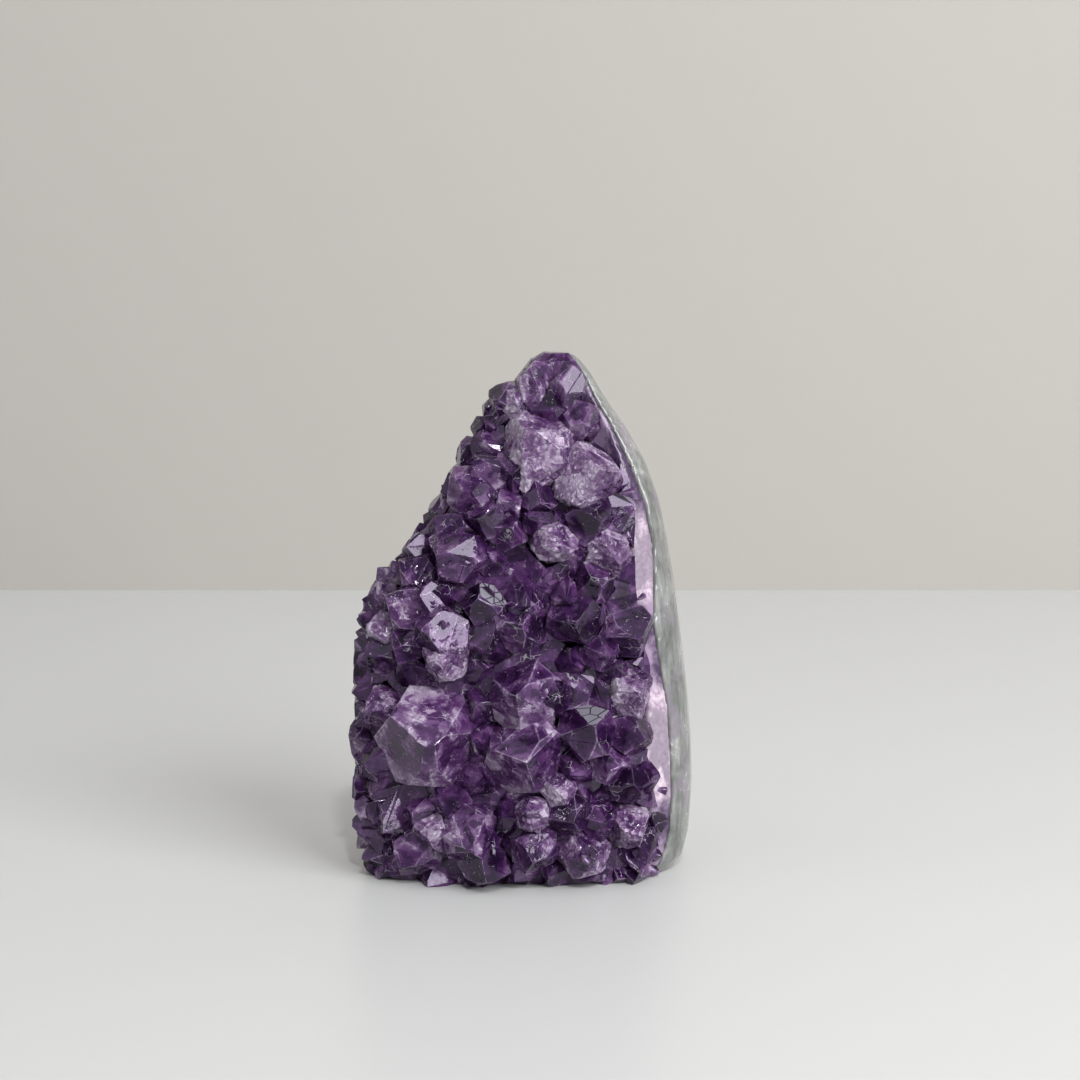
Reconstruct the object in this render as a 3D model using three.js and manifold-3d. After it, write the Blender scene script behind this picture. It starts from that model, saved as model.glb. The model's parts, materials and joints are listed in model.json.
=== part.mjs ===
// A free-standing section of an amethyst geode, cut flat at its base and ground smooth round its sides.
// From the back to the front it is a rind of grey-green rock, a band of pale quartz, and a bed of small
// amethyst points in which the larger crystals are rooted. Every crystal is a six-sided quartz prism with
// a six-sided tip. Millimetres, +Z up, the crystals face -Y, and the origin is the middle of the base.
import * as THREE from "three";
import { ConvexGeometry } from "three/addons/geometries/ConvexGeometry.js";
import { mergeVertices } from "three/addons/utils/BufferGeometryUtils.js";
import Module from "manifold-3d";

const wasm = await Module();
wasm.setup();

// Driving dimensions, in millimetres and degrees.
const gap = 0.3; // clearance between neighbouring pieces
const rindThickness = 6; // at the middle of the back
const bandThickness = 4.6;
const thickestShare = 0.3; // a layer's greatest share of the rock's depth, so that it thins out at the top
const tipFaceTilt = 51.8; // from a quartz crystal's axis to the normal of a tip face
const rootFactor = 1.7; // how far a crystal goes down from the edge of its tip, in radii
const lift = 0.26; // how much further a crystal stands out than its row says, in radii
const polishReach = 15; // how far in front of the bed the ground right side still trims crystals
const leftReach = 1.6; // the left side is ground too, this far out from the bed
const crest = { from: 88, to: 97 }; // between these heights the crystals are trimmed straight up

// The small points of the bed. Their sizes below the radius are shares of it.
const small = {
  spacing: 7.2, // along a level of the bed
  rowShare: 0.86, // of the spacing, from one level to the next
  heightSpread: 1.5, // how far a point strays up or down from its level
  lowest: 1.5,
  highest: 85,
  radius: 2.3,
  radiusSpread: 1.1, // the most that is added to the radius
  root: 1.7,
  rise: 1.15,
  tilt: 20,
};
const smallRange = { from: -178, to: -47, steps: 68 }; // degrees round the skin that the small points cover

// The rock without its crystals: [height, left edge, right edge, front, back].
const sections = [
  [0, -24.1, 27.5, -11.6, 17.6],
  [2, -26.2, 29.3, -12.6, 18.9],
  [6, -27.6, 30.4, -13.2, 19.6],
  [16, -28.3, 31.0, -13.4, 19.4],
  [28, -28.3, 30.4, -12.8, 18.6],
  [38, -28.1, 29.3, -12.0, 17.7],
  [47, -26.9, 28.1, -11.2, 16.8],
  [54, -23.0, 27.2, -10.4, 15.8],
  [60, -18.6, 26.1, -9.5, 14.9],
  [66, -13.6, 24.9, -8.4, 13.8],
  [72, -11.4, 22.9, -7.0, 12.6],
  [78, -6.4, 19.9, -5.4, 11.4],
  [84, -3.2, 15.6, -3.4, 10.2],
  [89, 0.4, 12.6, -1.2, 9.0],
  [91.5, 2.4, 10.6, 0.8, 7.8],
  [92.6, 4.2, 9.2, 2.2, 6.6],
];
const ringHeights = [0, 0.8, 2.6, 7, 15, 23, 31, 39, 46, 53, 60, 67, 74, 80, 85, 89, 91.5, 92.6];
const widestShare = 0.46; // how far back from the front the rock is widest, as a share of its depth
// Exponents of the superellipse that a level cut follows, for each quarter of the rock.
const squareness = { frontRight: 2.3, frontLeft: 2.7, back: 2.3 };

// Where the layers meet the skin, in degrees round it from the right edge, on its right and left.
const rindSeam = { right: -32, left: 168 };
const bandSeam = { right: -45, left: 178 };
const lowerLeftWrap = { turn: 17, height: 12 }; // the rind comes further round at the lower left corner

// The larger crystals by zone, each [x, height, radius, rise, tilt to the right, tilt upwards, tone].
// The tip stands at x and height. It is rise, plus lift times the radius, above the bed, and the tilts turn the
// crystal from the bed's own normal.
const zones = {
  crest: [
    [3.6, 93.9, 3.3, 3.2, -16, 40, "pale"],
    [8.9, 92.4, 3.3, 3.0, 12, 36, "mid"],
    [4.2, 87.0, 3.5, 3.6, -12, 12, "deep"],
    [12.6, 85.6, 3.5, 3.2, 20, 18, "mid"],
    [-2.0, 88.0, 2.5, 2.2, -26, 24, "pale"],
    [0.1, 81.6, 7.0, 6.8, -10, 12, "pale"],
    [14.4, 75.4, 6.6, 6.4, 8, 4, "pale"],
    [-1.2, 73.4, 3.9, 4.2, 5, -14, "deep"],
  ],
  shoulder: [
    [-12.4, 73.4, 4.4, 5.0, -24, 18, "mid"],
    [-7.6, 76.0, 3.8, 4.2, -16, 12, "mid"],
    [3.9, 68.8, 3.3, 4.0, 8, -8, "deep"],
    [-3.9, 69.4, 3.2, 3.8, -6, 12, "mid"],
    [-7.2, 65.8, 3.6, 4.8, -10, -10, "mid"],
    [14.4, 65.6, 4.2, 4.6, 12, -6, "deep"],
    [-1.3, 64.6, 3.1, 4.2, 10, 6, "mid"],
    [5.4, 61.0, 4.2, 5.4, -4, -8, "pale"],
    [17.8, 60.4, 4.7, 4.8, 8, 2, "pale"],
    [-14.6, 66.0, 3.4, 4.0, -24, 6, "mid"],
  ],
  middle: [
    [-14.8, 60.0, 5.0, 6.4, -16, -6, "mid"],
    [-20.8, 58.6, 3.8, 4.4, -20, 14, "mid"],
    [-23.4, 52.0, 4.2, 5.0, -16, 8, "mid"],
    [-17.6, 53.2, 3.1, 5.0, -10, 6, "mid"],
    [-6.8, 53.0, 3.7, 5.0, -4, 22, "deep"],
    [14.6, 54.8, 3.8, 4.6, 8, 4, "mid"],
    [-16.2, 47.6, 5.0, 7.2, -12, 8, "mid"],
    [0.8, 48.2, 5.0, 6.8, 8, 4, "mid"],
    [9.8, 48.4, 4.8, 6.0, -6, 2, "deep"],
    [22.0, 44.6, 4.8, 5.2, 6, -8, "mid"],
    [15.4, 42.2, 3.4, 4.8, 4, -4, "deep"],
    [-27.0, 46.6, 3.2, 4.0, -10, 10, "pale"],
    [-22.2, 43.2, 3.2, 5.0, -12, -4, "mid"],
    [-5.0, 44.0, 4.5, 6.0, 6, -8, "deep"],
    [-27.2, 41.2, 3.8, 4.6, -8, -6, "deep"],
    [-14.8, 41.0, 4.3, 6.8, -8, -10, "pale"],
  ],
  belly: [
    [-0.6, 36.8, 6.1, 7.6, -8, 10, "mid"],
    [21.6, 36.0, 4.6, 5.2, 4, 6, "pale"],
    [6.8, 34.4, 3.7, 4.6, 12, -6, "deep"],
    [13.4, 31.0, 5.0, 6.4, 4, 20, "deep"],
    [-27.4, 32.2, 4.4, 5.0, -10, 4, "pale"],
    [-15.8, 28.4, 9.0, 9.6, 10, 2, "mid"],
    [22.0, 27.0, 4.0, 4.6, 6, -4, "deep"],
    [1.0, 24.8, 6.9, 8.4, 2, -2, "mid"],
    [16.3, 22.8, 3.4, 4.6, -8, 8, "mid"],
    [-27.6, 22.0, 3.8, 4.6, -8, -6, "mid"],
    [20.2, 19.6, 3.5, 4.6, 6, 8, "deep"],
  ],
  foot: [
    [7.6, 18.8, 3.2, 5.6, 4, 6, "pale"],
    [2.0, 15.0, 3.2, 6.4, -4, 8, "pale"],
    [9.2, 13.6, 4.2, 6.0, 4, -4, "deep"],
    [-12.2, 16.6, 3.3, 4.4, 6, 12, "mid"],
    [15.6, 13.0, 3.6, 5.0, 8, 8, "mid"],
    [-8.2, 8.8, 5.4, 7.2, 6, -6, "mid"],
    [21.6, 9.6, 4.3, 5.0, 6, -8, "pale"],
    [-16.8, 10.4, 3.4, 5.4, -6, 2, "pale"],
    [12.2, 7.6, 4.8, 7.0, 4, 6, "pale"],
    [2.6, 6.4, 4.4, 6.2, -4, -8, "mid"],
    [-21.6, 4.2, 4.3, 4.8, -10, -10, "mid"],
    [-5.8, 2.6, 4.2, 6.0, 4, -10, "mid"],
  ],
};

const tones = {
  deep: new THREE.MeshStandardMaterial({ color: 0x3b1a5a, roughness: 0.12 }),
  mid: new THREE.MeshStandardMaterial({ color: 0x6b4489, roughness: 0.16 }),
  pale: new THREE.MeshStandardMaterial({ color: 0xa48bb8, roughness: 0.28 }),
};
const bedMaterial = new THREE.MeshStandardMaterial({ color: 0x2c1640, roughness: 0.3 });
const bandMaterial = new THREE.MeshStandardMaterial({ color: 0xd3c6d6, roughness: 0.25 });
const rindMaterial = new THREE.MeshStandardMaterial({ color: 0x6f766c, roughness: 0.22 });

// A small repeatable random stream, so that every build gives the same stone.
function randomStream(seed) {
  let state = seed >>> 0;
  return () => {
    state = (state + 0x6d2b79f5) >>> 0;
    let t = Math.imul(state ^ (state >>> 15), state | 1);
    t ^= t + Math.imul(t ^ (t >>> 7), t | 61);
    return ((t ^ (t >>> 14)) >>> 0) / 4294967296;
  };
}

// ---- The rock's outer skin ----

const radians = THREE.MathUtils.degToRad;
const heights = Float32Array.from(sections, (row) => row[0]);
const smoothColumn = (column) =>
  new THREE.CubicInterpolant(heights, Float32Array.from(sections, (row) => row[column]), 1);
const [leftEdge, rightEdge, frontEdge, backEdge] = [1, 2, 3, 4].map(smoothColumn);
const noReach = { left: 0, right: 0, front: 0 };

// The level cut through the rock at a height, reaching out by the amounts given.
function sectionAt(z, reach) {
  const at = (edge) => edge.evaluate(THREE.MathUtils.clamp(z, heights[0], heights.at(-1)))[0];
  const left = at(leftEdge) - reach.left;
  const right = at(rightEdge) + reach.right;
  const front = at(frontEdge) - reach.front;
  const back = at(backEdge);
  return {
    middle: (left + right) / 2,
    halfWidth: (right - left) / 2,
    widest: front + (back - front) * widestShare,
    front,
    back,
  };
}

// A point of the skin. Angle 0 is the right edge, -90 degrees the middle of the front, 180 the left edge.
function skinPoint(angle, z, reach = noReach) {
  const cut = sectionAt(z, reach);
  const [cosine, sine] = [Math.cos(radians(angle)), Math.sin(radians(angle))];
  const quarter = sine > 0 ? "back" : cosine > 0 ? "frontRight" : "frontLeft";
  const power = 2 / squareness[quarter];
  const across = Math.sign(cosine) * Math.abs(cosine) ** power;
  const along = Math.abs(sine) ** power;
  const end = sine < 0 ? cut.front : cut.back;
  const [x, y] = [cut.middle + cut.halfWidth * across, cut.widest + (end - cut.widest) * along];
  return new THREE.Vector3(x, y, z);
}

function skinNormal(angle, z) {
  const round = skinPoint(angle + 1, z).sub(skinPoint(angle - 1, z));
  const up = skinPoint(angle, z + 1).sub(skinPoint(angle, z - 1));
  return round.cross(up).normalize();
}

// The angle at which the front half of the skin passes through x.
const farthestOut = 0.985; // of the half width, just short of the edge
function frontAngle(x, z) {
  const cut = sectionAt(z, noReach);
  const across = THREE.MathUtils.clamp((x - cut.middle) / cut.halfWidth, -farthestOut, farthestOut);
  const power = (across > 0 ? squareness.frontRight : squareness.frontLeft) / 2;
  return -THREE.MathUtils.radToDeg(Math.acos(Math.sign(across) * Math.abs(across) ** power));
}

// ---- The layers, each a loft of level loops ----

// Points along the skin at a height, from one angle to another.
function skinArc(from, to, count, z, reach = noReach) {
  return Array.from({ length: count }, (_, i) =>
    skinPoint(THREE.MathUtils.lerp(from, to, i / (count - 1)), z, reach),
  );
}

// The angles at which a layer's wall meets the skin. The seams wander a little with height.
function seamAngles(seam, z) {
  const wander = 2.2 * Math.sin(z / 6.5 + seam.left) + 1.2 * Math.sin(z / 4.1 + seam.right);
  const wrap = lowerLeftWrap.turn * Math.exp(-((z / lowerLeftWrap.height) ** 2));
  return { right: seam.right + wander, left: seam.left + wander / 2 + wrap };
}

// The wall at the front of the rind or of the quartz band, from the right of the rock to its left.
// Its ends are on the skin, and its middle is set by the thickness of what lies behind it.
const wallPoints = 11;
const wallRoundness = 0.8; // below 1 the wall turns back quickly at its ends and is flat across the middle
function wallArc({ seam, thickness }, z) {
  const cut = sectionAt(z, noReach);
  const angles = seamAngles(seam, z);
  const [right, left] = [skinPoint(angles.right, z), skinPoint(angles.left, z)];
  const middleDepth = cut.back - thickness(cut.back - cut.front);
  return Array.from({ length: wallPoints }, (_, i) => {
    const t = i / (wallPoints - 1);
    const point = right.clone().lerp(left, t);
    point.y = THREE.MathUtils.lerp(point.y, middleDepth, Math.sin(Math.PI * t) ** wallRoundness);
    return point;
  });
}

const arcPoints = 20; // of a layer's loop along the skin
const wholePoints = 24; // of a loop right round the skin
const rindDepth = (depth) => Math.min(rindThickness, thickestShare * depth);
const bandDepth = (depth) => rindDepth(depth) + Math.min(bandThickness, thickestShare * depth);
const rindFront = { seam: rindSeam, thickness: rindDepth };
const bandFront = { seam: bandSeam, thickness: bandDepth };

// The level loop of all the rock behind a wall.
function rockBehind(front, z) {
  const angles = seamAngles(front.seam, z);
  return [...skinArc(angles.right, angles.left, arcPoints, z), ...wallArc(front, z).reverse().slice(1, -1)];
}

// The level loop of everything behind a wall and a gap, rock or not.
const outsideRock = 4; // how far its ends go on past the skin
const farAway = 60;
function spaceBehind(front, z) {
  const wall = wallArc(front, z);
  const last = wallPoints - 1;
  const moved = wall.map((point, i) => {
    const along = wall[Math.min(i + 1, last)].clone().sub(wall[Math.max(i - 1, 0)]).normalize();
    const forward = new THREE.Vector3(-along.y, along.x, 0);
    const overshoot = i === 0 ? -outsideRock : i === last ? outsideRock : 0;
    return point.clone().addScaledVector(forward, gap).addScaledVector(along, overshoot);
  });
  const corner = (x, y) => new THREE.Vector3(x, y, z);
  const right = [corner(farAway, farAway), corner(farAway, moved[0].y)];
  const left = [corner(-farAway, moved.at(-1).y), corner(-farAway, farAway)];
  return [...right, ...moved, ...left].reverse();
}

// The outermost shape that the cut base and the ground right side leave to the crystals.
const wholeLoop = (z, reach) => skinArc(0, 360 - 360 / wholePoints, wholePoints, z, reach);
const trimReach = { left: leftReach, right: 0, front: polishReach };
const trimLoop = (z) => wholeLoop(Math.min(z, crest.from), trimReach).map((point) => point.setZ(z));

// A closed surface through level loops of equal counts, capped flat at its ends.
function loft(loopAt, levels = ringHeights) {
  const loops = levels.map(loopAt);
  const count = loops[0].length;
  const faces = [];
  for (let ring = 0; ring + 1 < loops.length; ring++) {
    for (let i = 0; i < count; i++) {
      const next = (i + 1) % count;
      const [a, b] = [ring * count + i, ring * count + next];
      faces.push(a, b, b + count, a, b + count, a + count);
    }
  }
  const capFaces = (loop) => {
    const outline = loop.map((point) => new THREE.Vector2(point.x, point.y));
    return THREE.ShapeUtils.triangulateShape(outline, []);
  };
  const topStart = (loops.length - 1) * count;
  capFaces(loops[0]).forEach(([a, b, c]) => faces.push(a, c, b));
  capFaces(loops.at(-1)).forEach((face) => faces.push(...face.map((i) => topStart + i)));
  return new THREE.BufferGeometry().setFromPoints(loops.flat()).setIndex(faces);
}

// ---- Solids ----

function solidOf(geometry) {
  const shape = geometry.clone();
  shape.deleteAttribute("normal");
  shape.deleteAttribute("uv");
  const merged = mergeVertices(shape, 1e-4);
  return new wasm.Manifold(
    new wasm.Mesh({
      numProp: 3,
      vertProperties: merged.attributes.position.array,
      triVerts: new Uint32Array(merged.index.array),
    }),
  );
}

function geometryOf(solid) {
  const mesh = solid.getMesh();
  const geometry = new THREE.BufferGeometry()
    .setAttribute("position", new THREE.BufferAttribute(mesh.vertProperties, mesh.numProp))
    .setIndex(new THREE.BufferAttribute(mesh.triVerts, 1));
  geometry.computeVertexNormals();
  return geometry;
}

const largestBody = (solid) =>
  solid.decompose().reduce((best, body) => (body.volume() > best.volume() ? body : best));

// ---- Crystals ----

// Six planes round the Z axis, their normals tilted from it, each at its own distance from the origin.
function sixPlanes(spin, tilt, distanceOf) {
  return Array.from({ length: 6 }, (_, side) => {
    const normal = new THREE.Vector3().setFromSphericalCoords(1, radians(tilt), spin + (side * Math.PI) / 3);
    return new THREE.Plane(new THREE.Vector3(normal.z, normal.x, normal.y), -distanceOf(side));
  });
}

// The faces of a quartz tip with its point near the origin. Every second face is the smaller one.
const tipPlanes = (radius, spin, random) =>
  sixPlanes(spin, tipFaceTilt, (side) => radius * (side % 2 ? 0.3 - 0.24 * random() : -0.12 * random()));

const prismPlanes = (radius, spin, random) => sixPlanes(spin, 90, () => radius * (0.86 + 0.24 * random()));

const rootPlane = (depth) => new THREE.Plane(new THREE.Vector3(0, 0, -1), -depth);

// The closed shape inside all the planes, each moved outwards by grow.
function shapeInside(planes, grow = 0) {
  const moved = planes.map((plane) => new THREE.Plane(plane.normal, plane.constant - grow));
  const corners = [];
  const normals = new THREE.Matrix3();
  for (let i = 0; i < moved.length; i++) {
    for (let j = i + 1; j < moved.length; j++) {
      for (let k = j + 1; k < moved.length; k++) {
        const [a, b, c] = [moved[i], moved[j], moved[k]];
        normals.set(...a.normal, ...b.normal, ...c.normal);
        if (Math.abs(normals.determinant()) < 1e-3) continue;
        const corner = new THREE.Vector3(-a.constant, -b.constant, -c.constant);
        corner.applyMatrix3(normals.invert());
        if (moved.some((plane) => plane.distanceToPoint(corner) > 1e-5)) continue;
        if (corners.some((other) => other.distanceTo(corner) < 1e-3)) continue;
        corners.push(corner);
      }
    }
  }
  return new ConvexGeometry(corners);
}

// A crystal of the given planes, its tip at rise above the skin and its axis tilted from the skin's normal.
function placedCrystal({ angle, z, rise, tiltRight, tiltUp, planes }) {
  const normal = skinNormal(angle, z);
  const tip = skinPoint(angle, z).addScaledVector(normal, rise);
  const axis = normal.applyAxisAngle(new THREE.Vector3(0, 0, 1), radians(tiltRight));
  axis.applyAxisAngle(new THREE.Vector3(axis.y, -axis.x, 0).normalize(), radians(tiltUp));
  const place = new THREE.Matrix4().compose(
    tip,
    new THREE.Quaternion().setFromUnitVectors(new THREE.Vector3(0, 0, 1), axis),
    new THREE.Vector3(1, 1, 1),
  );
  const made = (grow) => solidOf(shapeInside(planes, grow).applyMatrix4(place));
  return { tip, axis, solid: made(0), grown: made(gap) };
}

// The place on the skin above which a tip of this rise is seen at x and height.
const footMargin = 0.5; // a foot's least distance from the rock's base and top
function footUnder(x, height, rise) {
  let foot = { angle: frontAngle(x, height), z: height };
  for (let step = 0; step < 4; step++) {
    const lean = skinNormal(foot.angle, foot.z).multiplyScalar(rise);
    const z = THREE.MathUtils.clamp(height - lean.z, footMargin, heights.at(-1) - footMargin);
    foot = { angle: frontAngle(x - lean.x, z), z };
  }
  return foot;
}

function largeCrystal([x, height, radius, listedRise, tiltRight, tiltUp, tone], name, random) {
  const rise = listedRise + lift * radius;
  const spin = random() * 2 * Math.PI;
  const length = radius * (rootFactor + Math.tan(radians(tipFaceTilt)));
  const sides = [...tipPlanes(radius, spin, random), ...prismPlanes(radius, spin, random)];
  const planes = [...sides, rootPlane(length)];
  const placed = placedCrystal({ ...footUnder(x, height, rise), rise, tiltRight, tiltUp, planes });
  return { name, tone, radius, reach: length + radius, ...placed };
}

// ---- Building ----

const trim = solidOf(loft(trimLoop, [...ringHeights, crest.to]));
const clearedLevels = [-1, ...ringHeights, 100]; // past the base and the crest
const behindRind = solidOf(loft((z) => spaceBehind(rindFront, z), clearedLevels));
const behindBed = solidOf(loft((z) => spaceBehind(bandFront, z), clearedLevels));
const geode = new THREE.Group();

function addPiece(name, solid, material, origin = new THREE.Vector3()) {
  const geometry = geometryOf(largestBody(solid)).translate(-origin.x, -origin.y, -origin.z);
  const mesh = new THREE.Mesh(geometry, material);
  mesh.name = name;
  mesh.position.copy(origin);
  geode.add(mesh);
}

addPiece("rock_rind", solidOf(loft((z) => rockBehind(rindFront, z))), rindMaterial);
const behindBandFront = solidOf(loft((z) => rockBehind(bandFront, z)));
addPiece("quartz_band", behindBandFront.subtract(behindRind), bandMaterial);

const largeCrystals = Object.entries(zones).flatMap(([zone, rows], zoneNumber) =>
  rows.map((row, i) => {
    const random = randomStream(100 * (zoneNumber + 1) + i);
    return largeCrystal(row, `${zone}_crystal_${i + 1}`, random);
  }),
);

// Where two crystals meet, the larger one keeps its shape.
const meets = (a, b) => a.tip.distanceTo(b.tip) < a.reach + b.reach;
const bySize = [...largeCrystals].sort((a, b) => b.radius - a.radius);
bySize.forEach((crystal, i) => {
  const larger = bySize.slice(0, i).filter((other) => meets(other, crystal));
  const own = larger.reduce((solid, other) => solid.subtract(other.grown), crystal.solid);
  crystal.piece = own.intersect(trim).subtract(behindBed);
});
for (const { name, tone, tip, piece } of largeCrystals) {
  addPiece(name, piece, tones[tone], tip);
}

// Small points fill the rest of the front and of the left flank, evenly spaced along each level of the bed.
function smallCrystal(angle, z, random) {
  const radius = small.radius + small.radiusSpread * random();
  const planes = [...tipPlanes(radius, random() * Math.PI, random), rootPlane(radius * small.root)];
  const tilt = () => small.tilt * (2 * random() - 1);
  return placedCrystal({ angle, z, rise: radius * small.rise, tiltRight: tilt(), tiltUp: tilt(), planes });
}

// Whether a point of the bed lies inside a large crystal's root.
const rootCover = 0.8; // of the crystal's radius
function isCovered(point) {
  return largeCrystals.some(({ tip, axis, radius }) => {
    const offset = point.clone().sub(tip);
    return offset.addScaledVector(axis, -offset.dot(axis)).length() < rootCover * radius;
  });
}

function smallCrystals(random) {
  const { from, to, steps } = smallRange;
  const made = [];
  for (let level = small.spacing / 3; level < small.highest; level += small.rowShare * small.spacing) {
    let travelled = small.spacing * random();
    for (let step = 1; step < steps; step++) {
      const [before, angle] = [step - 1, step].map((n) => THREE.MathUtils.lerp(from, to, n / (steps - 1)));
      travelled += skinPoint(angle, level).distanceTo(skinPoint(before, level));
      if (travelled < small.spacing) continue;
      travelled -= small.spacing;
      const z = Math.max(small.lowest, level + small.heightSpread * (2 * random() - 1));
      const point = smallCrystal(angle, z, random);
      if (!isCovered(skinPoint(angle, z))) made.push(point);
    }
  }
  return made;
}

const points = smallCrystals(randomStream(5));
const bed = points.reduce((solid, point) => solid.add(point.solid), solidOf(loft((z) => wholeLoop(z))));
const trimmedBed = bed.intersect(trim).subtract(behindBed);
const druse = largeCrystals.reduce((solid, large) => solid.subtract(large.grown), trimmedBed);
addPiece("druse_bed", druse, bedMaterial);

// The stone's box is centred on the origin.
const box = new THREE.Box3().setFromObject(geode);
const centre = box.getCenter(new THREE.Vector3());
geode.position.set(-centre.x, -centre.y, -box.min.z);

export default geode;
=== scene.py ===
import itertools
import json
import math
import random

import bmesh
import bpy
import numpy as np
from mathutils import Matrix, Vector, noise
from mathutils.bvhtree import BVHTree

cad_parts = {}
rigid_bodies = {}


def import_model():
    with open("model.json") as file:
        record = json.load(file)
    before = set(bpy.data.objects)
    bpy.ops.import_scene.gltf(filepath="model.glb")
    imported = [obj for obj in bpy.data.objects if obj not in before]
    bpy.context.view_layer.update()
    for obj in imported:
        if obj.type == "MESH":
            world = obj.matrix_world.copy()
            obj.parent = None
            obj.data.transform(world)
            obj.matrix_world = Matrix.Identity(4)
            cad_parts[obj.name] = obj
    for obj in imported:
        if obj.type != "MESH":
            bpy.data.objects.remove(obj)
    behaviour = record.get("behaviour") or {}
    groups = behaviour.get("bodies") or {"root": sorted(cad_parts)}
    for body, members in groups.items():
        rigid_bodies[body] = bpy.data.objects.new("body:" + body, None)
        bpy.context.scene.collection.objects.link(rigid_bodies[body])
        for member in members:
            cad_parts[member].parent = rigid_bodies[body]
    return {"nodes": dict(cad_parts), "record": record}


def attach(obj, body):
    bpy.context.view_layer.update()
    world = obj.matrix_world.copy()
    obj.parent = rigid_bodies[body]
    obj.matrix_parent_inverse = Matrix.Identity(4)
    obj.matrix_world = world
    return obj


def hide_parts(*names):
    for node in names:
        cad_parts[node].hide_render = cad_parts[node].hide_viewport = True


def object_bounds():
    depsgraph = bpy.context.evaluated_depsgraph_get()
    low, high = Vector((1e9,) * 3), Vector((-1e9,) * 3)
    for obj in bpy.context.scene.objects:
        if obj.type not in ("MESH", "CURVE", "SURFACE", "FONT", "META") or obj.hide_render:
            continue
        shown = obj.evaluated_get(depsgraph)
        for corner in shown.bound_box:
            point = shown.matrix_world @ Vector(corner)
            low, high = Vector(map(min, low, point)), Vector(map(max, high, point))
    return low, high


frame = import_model()
cadLow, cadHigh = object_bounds()
mm = 0.001
noise.seed_set(4)  # noise_vector follows the clock otherwise
# the record names the material slot of each node
slotOf = {part["node"]: part["material_slot"] for part in frame["record"]["subparts"]}
print("frame loaded:", len(frame["nodes"]), "nodes")


class Signal:
    # a socket of a shader tree that can stand in a sum
    def __init__(self, tree, socket):
        self.tree, self.socket = tree, socket

    def math(self, operation, *others, clamp=False):
        settings = {"operation": operation, "use_clamp": clamp}
        return addNode(self.tree, "ShaderNodeMath", settings, dict(enumerate((self, *others))))

    def __add__(self, other): return self.math("ADD", other)
    def __mul__(self, other): return self.math("MULTIPLY", other)
    def __sub__(self, other): return self.math("SUBTRACT", other)
    def __rsub__(self, other): return self.math("MULTIPLY", -1) + other
    def __pow__(self, other): return self.math("POWER", other)
    __radd__, __rmul__ = __add__, __mul__


def addNode(tree, kind, settings=None, sockets=None, out=0):
    # settings come before sockets, and the signal is that of the output named
    made = tree.nodes.new(kind)
    for name, value in (settings or {}).items():
        if name == "stops":
            fillRamp(made.color_ramp, value)
        else:
            setattr(made, name, value)
    for name, value in (sockets or {}).items():
        if isinstance(value, Signal):
            tree.links.new(value.socket, made.inputs[name])
        else:
            made.inputs[name].default_value = value
    return Signal(tree, made.outputs[out]) if made.outputs else None


def fillRamp(ramp, stops):
    while len(ramp.elements) < len(stops):
        ramp.elements.new(1)
    for element, (place, colour) in zip(ramp.elements, stops):
        element.position, element.color = place, (*colour, 1)


class Finish:
    # a material while it is being written
    def __init__(self, name):
        self.material = bpy.data.materials.new(name)
        self.material.use_nodes = True
        self.tree = self.material.node_tree
        self.tree.nodes.clear()
        self.place = self.scaled(self.add("ShaderNodeTexCoord", out="Object"), (1000, 1000, 1000))  # in mm

    def add(self, kind, settings=None, sockets=None, out=0):
        return addNode(self.tree, kind, settings, sockets, out)

    def scaled(self, vector, scale):
        return self.add("ShaderNodeVectorMath", {"operation": "MULTIPLY"}, {0: vector, 1: scale})

    def moved(self, vector, other):
        return self.add("ShaderNodeVectorMath", {"operation": "ADD"}, {0: vector, 1: other})

    def noise(self, size, detail=3, rough=0.5, twist=0, at=None, out=0):
        sockets = {"Vector": at or self.place, "Scale": 1 / size, "Detail": detail}
        return self.add("ShaderNodeTexNoise", {}, sockets | {"Roughness": rough, "Distortion": twist}, out)

    def cells(self, size, feature="F1", out=0, at=None, spread=1):
        sockets = {"Vector": at or self.place, "Scale": 1 / size, "Randomness": spread}
        return self.add("ShaderNodeTexVoronoi", {"feature": feature}, sockets, out)

    def shards(self, size, at=None):
        # a height that gives every cell a flat slope of its own
        middle, colour = self.cells(size, out="Position", at=at), self.cells(size, out="Color", at=at)
        offset = self.add("ShaderNodeVectorMath", {"operation": "SUBTRACT"}, {0: at or self.place, 1: middle})
        slope = self.moved(colour, (-0.5, -0.5, -0.5))
        return self.add("ShaderNodeVectorMath", {"operation": "DOT_PRODUCT"}, {0: offset, 1: slope}, "Value")

    def attribute(self, name, out="Fac"):
        return self.add("ShaderNodeAttribute", {"attribute_name": name}, out=out)

    def between(self, value, low, high, start=0, end=1):
        sockets = {"Value": value, "From Min": low, "From Max": high, "To Min": start, "To Max": end}
        return self.add("ShaderNodeMapRange", {"interpolation_type": "SMOOTHSTEP"}, sockets)

    def blend(self, factor, first, second, way="MIX"):
        first, second = [c if isinstance(c, Signal) else (*c, 1) for c in (first, second)]
        sockets = {0: factor, 6: first, 7: second}
        return self.add("ShaderNodeMix", {"data_type": "RGBA", "blend_type": way}, sockets, 2)

    def ramp(self, value, stops):
        return self.add("ShaderNodeValToRGB", {"stops": stops}, {0: value})

    def bump(self, height, distance, strength=1, under=None):
        sockets = {"Height": height, "Distance": distance * mm, "Strength": strength}
        if under:
            sockets["Normal"] = under
        return self.add("ShaderNodeBump", {}, sockets)

    def body(self, **sockets):
        values = {name.replace("_", " "): value for name, value in sockets.items()}
        return self.add("ShaderNodeBsdfPrincipled", {}, values)

    def done(self, surface, volume=None):
        ends = {"Surface": surface} | ({"Volume": volume} if volume else {})
        self.add("ShaderNodeOutputMaterial", {}, ends)
        return self.material


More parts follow.
